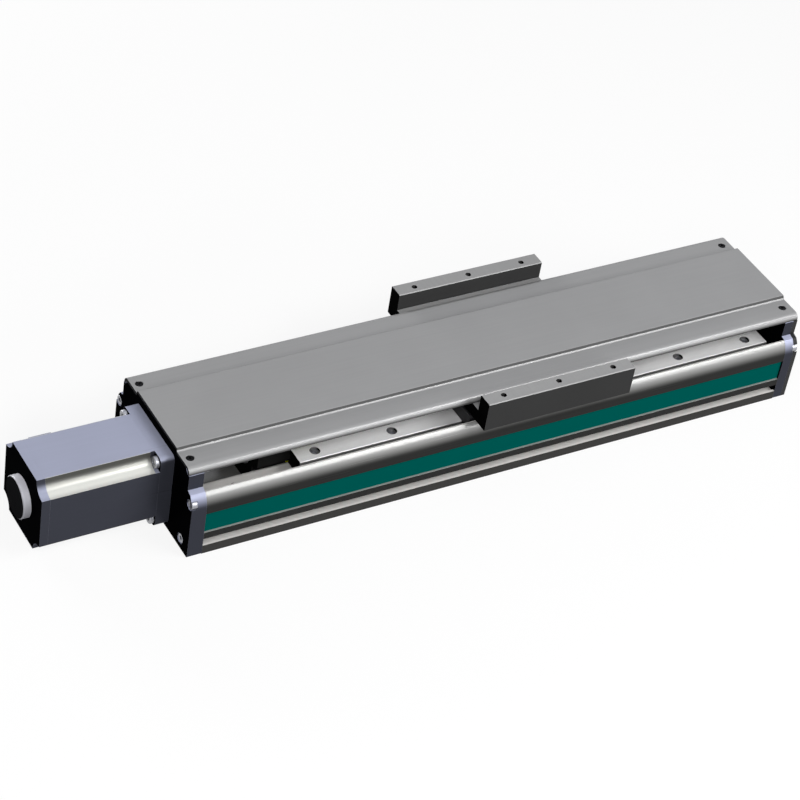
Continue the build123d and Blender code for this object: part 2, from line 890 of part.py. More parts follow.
def cover_section():
    """The cover's section: a sheet with a raised middle and rounded edges that end in a short lip."""
    inner_radius = cover_edge_radius - cover_thickness
    top = cover_side_top + cover_middle_rise
    under = cover_side_under + cover_middle_rise
    step_end = cover_step_inner + cover_step_run
    flat_end = cover_half_width - cover_edge_radius
    arc_end = cover_side_top - cover_edge_radius
    lip_inner = cover_half_width - cover_thickness
    outside = Line((0, top), (cover_step_inner, top))
    outside += step(cover_step_inner, cover_step_run, top, cover_side_top)
    outside += Line((step_end, cover_side_top), (flat_end, cover_side_top))
    outside += RadiusArc((flat_end, cover_side_top), (cover_half_width, arc_end), cover_edge_radius)
    lip = Polyline((cover_half_width, arc_end), (cover_half_width, cover_lip_end), (lip_inner, cover_lip_end),
                   (lip_inner, arc_end))
    inside = RadiusArc((lip_inner, arc_end), (flat_end, cover_side_under), -inner_radius)
    inside += Line((flat_end, cover_side_under), (step_end, cover_side_under))
    inside += step(cover_step_inner, cover_step_run, under, cover_side_under)
    inside += Line((cover_step_inner, under), (0, under))
    return whole(outside + lip + inside)


def make_cover():
    cover = prism(cover_section(), motor_plate_x, far_cap_x)
    for x, y in cover_screw_places():
        cover -= post(cover_side_under - past, cover_side_top + past, m3_clear, x, y)
        cone = Cone(m3_clear, m3[1] + clearance_play, m3[2])
        cover -= Pos(x, y, cover_side_top - m3[2] / 2) * cone
    return cover


def make_cover_screws():
    screws = []
    for x, y in cover_screw_places():
        low = cover_side_under - thread_reach
        shank = post(low, cover_side_top - m3[2], m3[0], x, y)
        screws.append(shank + Pos(x, y, cover_side_top - m3[2] / 2) * Cone(m3[0], m3[1], m3[2]))
    return fuse(screws)


def motor_screw_places():
    """The motor's four flange screws, as y and z."""
    spots = PolarLocations(motor_screw_circle_radius, 4, start_angle=45)
    return [(spot.position.X, axis_height + spot.position.Y) for spot in spots]


def square(width, x0, x1, corner):
    """A square bar on the screw axis with rounded corners."""
    return prism(Pos(0, axis_height) * RectangleRounded(width, width, corner), x0, x1)


def make_motor_flange():
    flange = square(motor_width, housing_end, motor_plate_x, motor_flange_corner)
    flange += rod(motor_plate_x, motor_plate_x + pilot_depth, pilot_radius - pilot_play)
    flange += rod(housing_end - motor_spigot, housing_end, motor_bore_radius - screw_play)
    flange -= rod(housing_end - motor_spigot - past, front_bearing_end, motor_bearing_radius + screw_play)
    flange -= rod(housing_end, motor_plate_x + pilot_depth + past, motor_shaft_radius + motor_shaft_play)
    for y, z in motor_screw_places():
        flange -= rod(housing_end - past, motor_plate_x + past, m5_clear, y, z)
    return flange


def scalloped(x0, x1):
    """The motor body's section: a square with a hollow cut along each corner."""
    body = square(motor_width, x0, x1, motor_body_corner)
    half = motor_width / 2
    for side in sides:
        for up in sides:
            body -= rod(x0 - past, x1 + past, motor_scallop_radius, side * half, axis_height + up * half)
    return body


def make_motor_housing():
    body = scalloped(housing_start, housing_end)
    body -= rod(housing_start - past, housing_end + past, motor_bore_radius)
    half = motor_width / 2
    inner = half - motor_pocket_reach
    for side in sides:
        for up in sides:
            z0 = axis_height + up * inner
            z1 = axis_height + up * (half + past)
            y0 = side * inner
            y1 = side * (half + past)
            pocket = box(housing_end - motor_pocket_length, housing_end + past, min(y0, y1), max(y0, y1),
                         min(z0, z1), max(z0, z1))
            start = housing_end - motor_pocket_length - past
            keep = rod(start, housing_end + 2 * past, motor_bore_radius + motor_bore_wall)
            body -= pocket - keep
    return body


def make_motor_rear():
    rear = scalloped(motor_rear_x, housing_start)
    rear += rod(housing_start, housing_start + motor_spigot, motor_bore_radius - screw_play)
    rear -= rod(rear_bearing_x, housing_start + motor_spigot + past, motor_bearing_radius + screw_play)
    return rear


def make_encoder_cap():
    cap = rod(motor_rear_x - encoder_depth, motor_rear_x, encoder_radius)
    return chamfer(cap.edges().filter_by(GeomType.CIRCLE).sort_by(Axis.X)[0], encoder_chamfer)


def make_motor_plug():
    """The motor's plug socket on its rear side: a block that narrows outwards."""
    centre = motor_rear_x + plug_rear_distance
    side = motor_width / 2
    outline = make_face(
        Polyline(
            (centre - plug_length / 2, side),
            (centre + plug_length / 2, side),
            (centre + plug_outer_length / 2, side + plug_reach),
            (centre - plug_outer_length / 2, side + plug_reach),
            close=True,
        )
    )
    plug = Pos(0, 0, axis_height - plug_height / 2) * extrude(outline, amount=plug_height)
    half_room = plug_outer_length / 2 - plug_wall
    half_high = plug_height / 2 - plug_wall
    room = box(centre - half_room, centre + half_room,
               side + plug_reach - plug_room_depth, side + plug_reach + past,
               axis_height - half_high, axis_height + half_high)
    return plug - room


def make_motor_screws():
    length = motor_flange_thickness + thread_reach
    return fuse([screw_along_x(m5_low, housing_end, y, z, length, 1) for y, z in motor_screw_places()])


def make_motor_shaft():
    shaft = rod(front_bearing_end, motor_shaft_end, motor_shaft_radius)
    shaft += rod(rear_bearing_x + motor_shaft_end_gap, front_bearing_end, motor_bearing_seat_radius)
    return chamfer(shaft.edges().filter_by(GeomType.CIRCLE).sort_by(Axis.X)[-1], edge_break)


def make_motor_rotor():
    centre = (housing_start + housing_end) / 2
    half = motor_rotor_length / 2
    return tube(centre - half, centre + half, motor_rotor_radius, motor_bearing_seat_radius)


def make_motor_stator():
    centre = (housing_start + housing_end) / 2
    half = motor_stator_length / 2
    return tube(centre - half, centre + half, motor_bore_radius, motor_rotor_radius + motor_air_gap)


def motor_bearing(x):
    """One sealed motor bearing, whole."""
    return tube(x, x + motor_bearing_width, motor_bearing_radius, motor_bearing_seat_radius + screw_play)


def jaws(x0, x1, phase, play):
    """One hub's jaws: they share the ring evenly with the other hub's jaws and the spider's arms."""
    reach = 2 * coupling_radius
    half_angle = radians(180 / coupling_jaw_count / 4)
    width = reach * tan(half_angle)
    sector = make_face(Polyline((0, 0), (reach, -width), (reach, width), close=True))
    ring = Circle(coupling_radius - play) - Circle(coupling_jaw_inner + play)
    parts = Sketch() + [
        Rot(0, 0, phase + number * 360 / coupling_jaw_count) * sector for number in range(coupling_jaw_count)
    ]
    return prism(Pos(0, axis_height) * (ring & parts), x0, x1)


def coupling_places():
    """Where the two hubs and the space between them begin and end."""
    first = coupling_x + coupling_hub_length
    second = first + coupling_jaw_length
    return first, second, second + coupling_hub_length


def make_coupling_hub(shaft_radius, x0, x1, jaw_x0, jaw_x1, phase):
    hub = rod(x0, x1, coupling_radius)
    hub += jaws(jaw_x0, jaw_x1, phase, 0.0)
    hub -= rod(min(x0, jaw_x0) - past, max(x1, jaw_x1) + past, shaft_radius + screw_play)
    middle = (x0 + x1) / 2
    hub -= post(axis_height + shaft_radius, axis_height + coupling_radius + past, m4_tapped, middle, 0)
    return hub


def make_spider():
    first, second, _ = coupling_places()
    x0 = first + coupling_play
    x1 = second - coupling_play
    step_angle = 180 / coupling_jaw_count
    spider = tube(x0, x1, coupling_jaw_inner - coupling_play, coupling_jaw_inner - spider_ring_depth)
    reach = 2 * coupling_radius
    half_angle = radians(step_angle / 4)
    width = reach * tan(half_angle) - coupling_play
    arm = make_face(Polyline((0, 0), (reach, -width), (reach, width), close=True))
    ring = Circle(coupling_radius - spider_rim_gap) - Circle(coupling_jaw_inner - spider_arm_overlap)
    turns = [(number + 1 / 2) * step_angle for number in range(2 * coupling_jaw_count)]
    arms = Sketch() + [Rot(0, 0, turn) * arm for turn in turns]
    return spider + prism(Pos(0, axis_height) * (ring & arms), x0, x1)


def make_coupling_screws():
    first, second, last = coupling_places()
    screws = []
    for x0, x1, radius in ((coupling_x, first, motor_shaft_radius), (second, last, tip_radius)):
        low = axis_height + radius + set_screw_gap
        screws.append(post(low, axis_height + coupling_radius - set_screw_sink, m4[0], (x0 + x1) / 2, 0))
    return fuse(screws)


def make_parts():
    """Every node of the module, by name."""
    first, second, last = coupling_places()
    fixed_outer, fixed_inner = ring_radii(fixed_bearing_radius, journal_radius)
    far_outer, far_inner = ring_radii(far_bearing_radius, far_journal_radius)
    parts = {
        "base_extrusion": make_base(),
        "motor_end_plate": make_motor_plate(),
        "far_end_plate": make_far_plate(),
        "far_end_cap": make_far_cap(),
        "end_plate_screws": make_plate_screws(),
        "rail_screws": make_rail_screws(),
        "bearing_block_screws": make_block_screws(),
        "fixed_bearing_block": make_fixed_block(),
        "fixed_bearing_outer_rings": bearing_ring(
            fixed_bearing_x, bearing_width, 2, fixed_bearing_radius, fixed_outer
        ),
        "fixed_bearing_balls": bearing_ring(
            fixed_bearing_x, bearing_width, 2, fixed_outer - cage_play, fixed_inner + cage_play
        ),
        "fixed_bearing_inner_rings": bearing_ring(
            fixed_bearing_x, bearing_width, 2, fixed_inner, journal_radius + screw_play
        ),
        "bearing_retaining_ring": tube(
            fixed_block_x + retaining_ring_sink, fixed_bearing_x, fixed_bearing_radius,
            retaining_ring_inner
        ),
        "bearing_lock_nut": tube(
            fixed_bearing_x - lock_nut_length, fixed_bearing_x, lock_nut_radius, journal_radius + screw_play
        ),
        "far_bearing_block": make_far_block(),
        "far_bearing_outer_ring": tube(far_bearing_x, far_bearing_end, far_bearing_radius, far_outer),
        "far_bearing_balls": tube(
            far_bearing_x, far_bearing_end, far_outer - cage_play, far_inner + cage_play
        ),
        "far_bearing_inner_ring": tube(
            far_bearing_x, far_bearing_end, far_inner, far_journal_radius + screw_play
        ),
        "far_bearing_circlip": tube(
            far_bearing_end,
            far_bearing_end + circlip_width,
            far_journal_radius + circlip_rise,
            far_journal_radius + screw_play,
        ),
        "fixed_buffer": make_fixed_buffer(),
        "far_buffer": make_far_buffer(),
        "far_buffer_washer": make_buffer_washer(),
        "buffer_screws": make_buffer_screws(),
        "motor_flange": make_motor_flange(),
        "motor_housing": make_motor_housing(),
        "motor_rear_cover": make_motor_rear(),
        "motor_encoder_cap": make_encoder_cap(),
        "motor_plug": make_motor_plug(),
        "motor_screws": make_motor_screws(),
        "motor_stator": make_motor_stator(),
        "motor_front_bearing": motor_bearing(front_bearing_x),
        "motor_rear_bearing": motor_bearing(rear_bearing_x),
        "motor_shaft": make_motor_shaft(),
        "motor_rotor": make_motor_rotor(),
        "coupling_motor_hub": make_coupling_hub(motor_shaft_radius, coupling_x, first, first, second, 0.0),
        "coupling_spider": make_spider(),
        "coupling_screw_hub": make_coupling_hub(
            tip_radius, second, last, first, second, 180 / coupling_jaw_count
        ),
        "coupling_screws": make_coupling_screws(),
        "ball_screw": make_ball_screw(),
        "ball_nut": make_ball_nut(),
        "nut_screws": make_nut_screws(),
        "nut_bracket": make_nut_bracket(),
        "nut_bracket_screws": make_bracket_screws(),
        "carriage_plate": make_carriage_plate(),
        "carriage_screws": make_carriage_screws(),
        "slider_end_caps": make_block_caps(),
        "cover": make_cover(),
        "cover_screws": make_cover_screws(),
    }
    for side in sides:
        parts[f"side_strip_{side_names[side]}"] = make_strip(side)
        parts[f"rail_{side_names[side]}"] = make_rail(side)
    for name, x, side in block_places():
        parts[f"slider_block_{name}"] = make_block(x, side)
    return parts


os.makedirs("parts", exist_ok=True)
for node, shape in make_parts().items():
    export_step(shape, f"parts/{node}.step")
    print(node, round(shape.volume / 1000, 2), "cm3")
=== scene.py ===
# %% [markdown]
# # A covered ball screw linear actuator
# The module has a drawn aluminium base with two rails on it, a carriage that a ball screw pulls along them,
# a servo motor at one end and a sheet cover on top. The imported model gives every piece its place.
# This file gives each piece its finish, and makes again the pieces whose detail the plain model leaves out:
# the screws with their hexagon sockets, the ball screw with its helical groove, and the balls of its bearings.

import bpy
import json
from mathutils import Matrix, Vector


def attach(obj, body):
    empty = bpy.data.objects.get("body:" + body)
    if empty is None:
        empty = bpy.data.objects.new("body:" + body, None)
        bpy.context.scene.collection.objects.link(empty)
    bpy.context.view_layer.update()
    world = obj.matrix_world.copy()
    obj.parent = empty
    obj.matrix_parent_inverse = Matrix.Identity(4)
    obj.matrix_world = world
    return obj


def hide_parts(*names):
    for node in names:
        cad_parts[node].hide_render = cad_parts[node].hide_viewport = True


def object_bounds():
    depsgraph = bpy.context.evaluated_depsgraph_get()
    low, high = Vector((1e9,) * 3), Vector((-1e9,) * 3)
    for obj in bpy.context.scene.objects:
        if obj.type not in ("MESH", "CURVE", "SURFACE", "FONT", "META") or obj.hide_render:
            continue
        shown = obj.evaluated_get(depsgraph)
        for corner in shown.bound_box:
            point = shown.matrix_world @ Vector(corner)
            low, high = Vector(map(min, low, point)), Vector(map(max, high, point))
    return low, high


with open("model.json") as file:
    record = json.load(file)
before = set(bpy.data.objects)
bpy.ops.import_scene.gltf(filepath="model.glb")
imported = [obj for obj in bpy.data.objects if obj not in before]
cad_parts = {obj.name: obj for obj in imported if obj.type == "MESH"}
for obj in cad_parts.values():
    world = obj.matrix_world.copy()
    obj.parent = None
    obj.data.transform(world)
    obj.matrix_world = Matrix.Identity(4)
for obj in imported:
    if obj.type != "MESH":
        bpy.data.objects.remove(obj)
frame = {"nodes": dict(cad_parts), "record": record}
nodes = frame["nodes"]
cad_box = [list(corner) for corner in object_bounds()]
print("pieces in the frame:", len(nodes), "box:", [[round(value, 4) for value in corner] for corner in cad_box])

# %% [markdown]
# Blender works in metres and the drawings of a machine are in millimetres, so one factor turns one into the other.
# Shapes are whole numpy arrays, and angles are in radians.

# %% Tools
import json
from math import cos, pi, radians, sin

import bmesh
import bpy
import numpy as np
from mathutils import Matrix, Vector

mm = 0.001
scene = bpy.context.scene
print("metres in a millimetre:", mm)

# %% [markdown]
# ## The camera
# The photograph looks down on the module from its front left, through a long lens that keeps the long edges
# almost parallel. A camera is three directions and a place. The azimuth and the elevation say where it stands,
# and the roll turns the picture, because the module climbs to the right in it.

# %% The camera
azimuth, elevation, roll = radians(-35.4), radians(39.4), radians(10.1)
back = np.array([sin(azimuth) * cos(elevation), -cos(azimuth) * cos(elevation), sin(elevation)])
level = np.array([cos(azimuth), sin(azimuth), 0.0])
upward = np.cross(back, level)
right = cos(roll) * level + sin(roll) * upward
above = -sin(roll) * level + cos(roll) * upward
camera_place = np.array([-0.875, -1.152, 1.196])  # metres from the origin, in the middle under the base

lens_data = bpy.data.cameras.new("long_lens")
lens_data.lens, lens_data.sensor_width = 117.1, 36.0  # millimetres
lens_data.clip_end = 20.0                             # metres, past the floor's far edge
camera = bpy.data.objects.new("camera", lens_data)
turn = np.column_stack([right, above, back, camera_place])
camera.matrix_world = Matrix([list(row) for row in turn] + [[0.0, 0.0, 0.0, 1.0]])
scene.collection.objects.link(camera)
scene.camera = camera
print("camera at", camera_place, "looking along", np.round(-back, 3))

# %% [markdown]
# ## Materials
# Every colour is written as the hex value that a screen shows. A shader works with amounts of light, so one
# function undoes the screen's curve. A second one adds a node with its settings and its links in one line.

# %% Colour
def light(value):
    """Linear light of an sRGB hex colour: ((c + 0.055) / 1.055) to the power 2.4, or c / 12.92 when it is dark."""
    channels = np.array([int(value[start:start + 2], 16) for start in (1, 3, 5)]) / 255
    linear = np.where(channels <= 0.04045, channels / 12.92, ((channels + 0.055) / 1.055) ** 2.4)
    return (*linear.tolist(), 1.0)


print("mid grey 9b9b9b as light:", round(light("#9b9b9b")[0], 3))


# %% Nodes
def add(tree, kind, values=None, **settings):
    """Adds a node. settings are its properties, values its sockets: a number, a colour, or a socket to link."""
    made = tree.nodes.new(kind)
    for name, value in settings.items():
        setattr(made, name, value)
    for name, value in (values or {}).items():
        socket = made.inputs[name]
        if isinstance(value, bpy.types.NodeSocket):
            tree.links.new(value, socket)
        else:
            socket.default_value = value
    return made


def begin(name):
    """An empty material with its output, and the object coordinates and normal that its patterns read."""
    material = bpy.data.materials.new(name)
    material.use_nodes = True
    tree = material.node_tree
    tree.nodes.clear()
    output = add(tree, "ShaderNodeOutputMaterial")
    coordinates = add(tree, "ShaderNodeTexCoord").outputs
    return material, tree, output, coordinates["Object"], coordinates["Normal"]


# %% [markdown]
# ## The studio
# The floor is a plain pale sheet. It is a real surface, so the module's shadow lies on it. The camera and
# reflections see it and the sky brighter than they are, through Light Path, so that the background is pale
# while little light comes back from it to the module's sides, which are dark in the photograph.

# %% Seen rays
def seen_rays(tree, strength):
    """A strength for camera, glossy and transmission rays, and none for the rays that carry light."""
    rays = add(tree, "ShaderNodeLightPath").outputs
    seen = add(tree, "ShaderNodeMath", {0: rays["Is Camera Ray"], 1: rays["Is Glossy Ray"]}, operation="MAXIMUM")
    seen = add(tree, "ShaderNodeMath", {0: seen.outputs[0], 1: rays["Is Transmission Ray"]}, operation="MAXIMUM")
    return add(tree, "ShaderNodeMath", {0: seen.outputs[0], 1: strength}, operation="MULTIPLY").outputs[0]


# %% Floor
floor_shade, floor_glow = "#686868", 0.86
paper, tree, output = begin("paper_floor")[:3]  # matt paper has no gloss, only the soft shadow
matt = add(tree, "ShaderNodeBsdfDiffuse", {"Color": light(floor_shade)})
glow = add(tree, "ShaderNodeEmission", {"Color": (1, 1, 1, 1), "Strength": seen_rays(tree, floor_glow)})
both = add(tree, "ShaderNodeAddShader", {0: matt.outputs[0], 1: glow.outputs[0]})
tree.links.new(both.outputs[0], output.inputs["Surface"])

half = 6.0  # metres from the middle of the floor to its edges
floor_mesh = bpy.data.meshes.new("floor")
floor_mesh.from_pydata([(-half, -half, 0), (half, -half, 0), (half, half, 0), (-half, half, 0)], [], [(0, 1, 2, 3)])
floor_mesh.materials.append(paper)
floor = bpy.data.objects.new("floor", floor_mesh)
scene.collection.objects.link(floor)
floor.location.z = cad_box[0][2]
print("floor at", floor.location.z)

# %% [markdown]
# A dim sky fills the shadows. One wide lamp stands in front on the left, where the camera looks from, so that
# its shadows fall behind the pieces. Two strips in front on the right draw the bright lines along the round
# edges, which lie along the module. One more lamp is overhead, and one lights the rear side.

# %% World
sky_shade, sky_fill = "#f6f8ff", 0.07
world = bpy.data.worlds.new("studio")
world.use_nodes = True
scene.world = world
sky = world.node_tree.nodes["Background"]
sky.inputs["Color"].default_value = light(sky_shade)
strength = add(world.node_tree, "ShaderNodeMath", {0: seen_rays(world.node_tree, 1 - sky_fill), 1: sky_fill})
world.node_tree.links.new(strength.outputs[0], sky.inputs["Strength"])
scene.view_settings.view_transform = "Standard"
print("sky: seen at 1, lights at", sky_fill)


# %% Lamps
def lamp(name, direction, distance, width, height, watts):
    """A flat lamp of a width and height in metres, at a distance from the module's middle, facing it."""
    data = bpy.data.lights.new(name, "AREA")
    data.shape = "RECTANGLE"
    data.size, data.size_y = width, height
    data.energy = watts
    made = bpy.data.objects.new(name, data)
    made.location = Vector(direction).normalized() * distance
    made.rotation_euler = (-made.location).to_track_quat("-Z", "Y").to_euler()
    scene.collection.objects.link(made)
    print(name, "at", [round(value, 2) for value in made.location], "of", watts, "W")


# direction, distance, width, height and watts
lamp("left_lamp", (-0.45, -0.62, 0.64), 1.8, 0.9, 0.9, 16)
lamp("front_strip", (0.45, -0.57, 0.69), 1.6, 0.9, 0.27, 13)
lamp("low_strip", (0.45, -0.81, 0.37), 1.6, 1.2, 0.12, 6.8)
lamp("top_lamp", (0.10, 0.05, 0.99), 1.8, 1.3, 0.9, 2)
lamp("back_lamp", (-0.30, 0.93, 0.22), 1.8, 1.2, 0.5, 22)

# %% [markdown]
# ## Metal finishes
# Machined and drawn aluminium, ground steel and black oxide differ in colour and gloss, but all carry fine lines
# from the tool, the die or the stone. One noise, stretched along those lines, moves the colour, the gloss
# and the height together. Handling wears the sharp edges, so a rounded normal finds them and makes them paler.
# Upright flanks are painted darker than the tops as painted shade, and ends darker still and less metallic as
# more painted shade, so the colour also follows the way that a face points.

# %% Painted shade by the way a face points
def facing(tree, face, axis, low, high, value_low, value_high):
    """A level of painted shade: value_low to value_high as the normal's part along an axis goes from low to high."""
    part = add(tree, "ShaderNodeSeparateXYZ", {0: face}).outputs[axis]
    size = add(tree, "ShaderNodeMath", {0: part}, operation="ABSOLUTE").outputs[0]
    return add(tree, "ShaderNodeMapRange", {0: size, 1: low, 2: high, 3: value_low, 4: value_high},
               interpolation_type="SMOOTHSTEP").outputs[0]


# %% [markdown]
# Three places on otherwise even pieces have a colour of their own: painted light on the inside of the base and
# on the lower lips of its side slots, the pale bare metal in the hollow corners of the motor, and a line of
# painted shade beside the cover's raised middle. Separate pieces could carry them, but each place is part of one
# solid. A mask that is worked out from the coordinates leaves the solid whole.

# %% Painted light on the base's inside
channel_side, channel_floor = 55, 12  # the inside lies nearer to the middle and higher than these
lip_side, lip_top = 52, 8.2           # the side slots' lower lip lies further out and lower than these


def painted_light_inside(tree, place):
    """The mask of the painted light: 1 inside the base, where |y| is under channel_side and z over channel_floor,
    and on the lower lip of its side slots, where |y| is over lip_side and z under lip_top, all in mm."""
    spot = add(tree, "ShaderNodeSeparateXYZ", {0: place}).outputs
    out = add(tree, "ShaderNodeMath", {0: spot[1]}, operation="ABSOLUTE").outputs[0]
    within = add(tree, "ShaderNodeMath", {0: out, 1: channel_side * mm}, operation="LESS_THAN").outputs[0]
    over = add(tree, "ShaderNodeMath", {0: spot[2], 1: channel_floor * mm}, operation="GREATER_THAN").outputs[0]
    beyond = add(tree, "ShaderNodeMath", {0: out, 1: lip_side * mm}, operation="GREATER_THAN").outputs[0]
    under = add(tree, "ShaderNodeMath", {0: spot[2], 1: lip_top * mm}, operation="LESS_THAN").outputs[0]
    inside = add(tree, "ShaderNodeMath", {0: within, 1: over}, operation="MULTIPLY").outputs[0]
    lip = add(tree, "ShaderNodeMath", {0: beyond, 1: under}, operation="MULTIPLY").outputs[0]
    return add(tree, "ShaderNodeMath", {0: inside, 1: lip}, operation="MAXIMUM").outputs[0]


# %% The motor's hollow corners
axis_height = 35.0                           # of the motor and the screw over the underside
housing_middle, housing_half = -296.3, 38.7  # of the motor's housing, along X
corner_out, hollow_reach = 30, 10.3          # half its square, and how far a hollow reaches from a corner


def scallop(tree, place):
    """1 on the hollow corners of the motor's housing: x within housing_half of housing_middle, and the way from
    (|y|, |z - axis height|) to the corner of its square under hollow_reach, all in mm."""
    along = add(tree, "ShaderNodeSeparateXYZ", {0: place}).outputs[0]
    behind = add(tree, "ShaderNodeMath", {0: along, 1: housing_middle * mm, 2: housing_half * mm},
                 operation="COMPARE").outputs[0]
    around = add(tree, "ShaderNodeVectorMath", {0: place, 1: (0, 0, -axis_height * mm)}, operation="ADD").outputs[0]
    around = add(tree, "ShaderNodeVectorMath", {0: around}, operation="ABSOLUTE").outputs[0]
    around = add(tree, "ShaderNodeVectorMath", {0: around, 1: (0, -corner_out * mm, -corner_out * mm)},
                 operation="ADD").outputs[0]
    across = add(tree, "ShaderNodeVectorMath", {0: around, 1: (0, 1, 1)}, operation="MULTIPLY").outputs[0]
    away = add(tree, "ShaderNodeVectorMath", {0: across}, operation="LENGTH").outputs["Value"]
    near = add(tree, "ShaderNodeMath", {0: away, 1: hollow_reach * mm}, operation="LESS_THAN").outputs[0]
    return add(tree, "ShaderNodeMath", {0: behind, 1: near}, operation="MULTIPLY").outputs[0]


# %% The painted shade line beside the cover's raised middle
step_out, step_half = 30.85, 0.5  # the upper half of the step, from the middle, and half its width


def painted_shade_step(tree, place):
    """The mask of the painted shade line: 1 where |y| is within step_half of step_out, both in mm."""
    across = add(tree, "ShaderNodeSeparateXYZ", {0: place}).outputs[1]
    out = add(tree, "ShaderNodeMath", {0: across}, operation="ABSOLUTE").outputs[0]
    return add(tree, "ShaderNodeMath", {0: out, 1: step_out * mm, 2: step_half * mm}, operation="COMPARE").outputs[0]


# %% [markdown]
# A noise that is far finer across than along makes lines. A soft wide one makes the faint clouds that every real
# surface has. A sharp edge is found by a normal that is rounded over it: where it leaves the true normal, the
# surface is worn. A painted mask could do that too, but it would have to be made again for every piece.

# %% Lines and clouds
noise_low, noise_high = 0.25, 0.75  # a detailed noise hardly ever leaves these
soft_low, soft_high = 0.3, 0.7      # nor a soft one these


def tool_lines(tree, place, grain):
    """A noise of lines with grain = (long, wide, high) mm: each coordinate is divided by its size in the grain."""
    along = add(tree, "ShaderNodeMapping", {"Vector": place, "Scale": [1 / (size * mm) for size in grain]})
    return add(tree, "ShaderNodeTexNoise", {"Vector": along.outputs[0], "Scale": 1.0, "Detail": 3.0}).outputs[0]


def clouds(tree, place, size, cloud):
    """1 + cloud * wide, where wide is a soft noise of size mm, stretched to run from -0.5 to 0.5."""
    wide = add(tree, "ShaderNodeTexNoise", {"Vector": place, "Scale": 1 / (size * mm), "Detail": 2.0}).outputs[0]
    return add(tree, "ShaderNodeMapRange", {
        0: wide, 1: soft_low, 2: soft_high, 3: 1 - cloud / 2, 4: 1 + cloud / 2}).outputs[0]


# %% Worn edges
edge_from, edge_full = 0.98, 0.80  # the cosine between true and rounded normal where wear starts and is full


def worn_edges(tree, edge, wear):
    """The normal with edges rounded by edge mm, and the wear: from 0 to wear as the cosine falls to edge_full."""
    rounded = add(tree, "ShaderNodeBevel", {"Radius": edge * mm}, samples=4).outputs[0]
    true_face = add(tree, "ShaderNodeNewGeometry").outputs["True Normal"]
    same = add(tree, "ShaderNodeVectorMath", {0: rounded, 1: true_face}, operation="DOT_PRODUCT").outputs["Value"]
    worn = add(tree, "ShaderNodeMapRange", {0: same, 1: edge_from, 2: edge_full, 3: 0.0, 4: wear}).outputs[0]
    return rounded, worn


# %% Metal
blotch = 45                           # mm, the size of the clouds in a metal's colour
end_from, end_full = 0.6, 0.9         # the normal's part along X where the painted shade of an end starts and is full
worn_light, gloss_range = 0.25, 0.03  # the light that a worn edge gains, and the most that a line adds to roughness


def metal(name, shade, rough, grain, metallic=0.2, side=1.0, end=1.0, lean=(0.1, 0.6), streak=0.06, lift=0.002,
          edge=0.25, wear=0.2, cloud=0.04, spot=None, spot_shade=None, spot_metallic=None):
    """Metal with lines of a grain, clouds and worn edges. With the lines stretched to run from -0.5 to 0.5, level =
    clouds + streak * lines, times side as painted shade on upright faces, where the normal rises less than lean.
    On faces along X the level and the metallic share are both times end, as painted shade. colour = shade * level,
    or spot_shade * level in the spot, and paler by wear at edges. roughness = rough + 2 * gloss_range * lines,
    height = lift mm * the noise."""
    material, tree, output, place, face = begin(name)
    lines, broad = tool_lines(tree, place, grain), clouds(tree, place, blotch, cloud)
    fine = add(tree, "ShaderNodeMapRange", {0: lines, 1: noise_low, 2: noise_high, 3: -streak / 2, 4: streak / 2})
    level = add(tree, "ShaderNodeMath", {0: fine.outputs[0], 1: broad}, operation="ADD").outputs[0]
    # painted shade: upright flanks keep only side of their level
    if side < 1:
        flank = facing(tree, face, 2, *lean, side, 1.0)
        level = add(tree, "ShaderNodeMath", {0: level, 1: flank}, operation="MULTIPLY").outputs[0]
    shine, base = metallic, light(shade)[:3]
    if spot:
        there = spot(tree, place)
        base = add(tree, "ShaderNodeMix", {0: there, 6: light(shade), 7: light(spot_shade)},
                   data_type="RGBA").outputs[2]
        shine = add(tree, "ShaderNodeMapRange", {0: there, 3: metallic, 4: spot_metallic}).outputs[0]
    # painted shade: faces along X keep only end of their level and of their metallic share
    if end < 1:
        to_end = facing(tree, face, 0, end_from, end_full, 1.0, end)
        level = add(tree, "ShaderNodeMath", {0: level, 1: to_end}, operation="MULTIPLY").outputs[0]
        shine = add(tree, "ShaderNodeMath", {0: shine, 1: to_end}, operation="MULTIPLY").outputs[0]
    tone = add(tree, "ShaderNodeVectorMath", {0: base, "Scale": level}, operation="SCALE")
    rounded, worn = worn_edges(tree, edge, wear)
    bare = [min(1.0, worn_light + channel) for channel in light(shade)[:3]] + [1.0]
    colour = add(tree, "ShaderNodeMix", {0: worn, 6: tone.outputs[0], 7: bare}, data_type="RGBA")
    gloss = add(tree, "ShaderNodeMapRange", {
        0: lines, 1: noise_low, 2: noise_high, 3: rough - gloss_range, 4: rough + gloss_range})
    bump = add(tree, "ShaderNodeBump", {
        "Height": lines, "Distance": lift * mm, "Strength": 1.0, "Normal": rounded})
    skin = add(tree, "ShaderNodeBsdfPrincipled", {
        "Base Color": colour.outputs[2], "Roughness": gloss.outputs[0], "Metallic": shine,
        "Specular IOR Level": 0.0, "Normal": bump.outputs[0]})
    tree.links.new(skin.outputs[0], output.inputs["Surface"])
    return material


# %% [markdown]
# The size of a grain is the spacing of its lines in millimetres, along X, Y and Z. The real lines are a few
# hundredths of a millimetre apart, too fine to show here, so all of them are drawn about ten times as wide or more.

# %% Lines of the tools
drawn = (80.0, 1.6, 1.6)      # die lines run along the extrusion
milled = (1.1, 40.0, 1.1)     # cutter lines run across
ground = (0.8, 0.8, 0.8)      # a stone leaves short, even marks
turned = (0.6, 9.0, 9.0)      # tool marks run round the axis, which lies along X
round_lean = (0.03, 0.40)     # painted shade on the cover starts only where its round edge is nearly upright
shoulder_lean = (0.10, 0.60)  # painted shade darkens the base's broad round shoulder from its middle down
soft_lean = (0.25, 0.95)      # painted shade darkens the motor's rounded corners over their whole turn
print("die lines every", drawn[1], "mm, cutter lines every", milled[0], "mm")
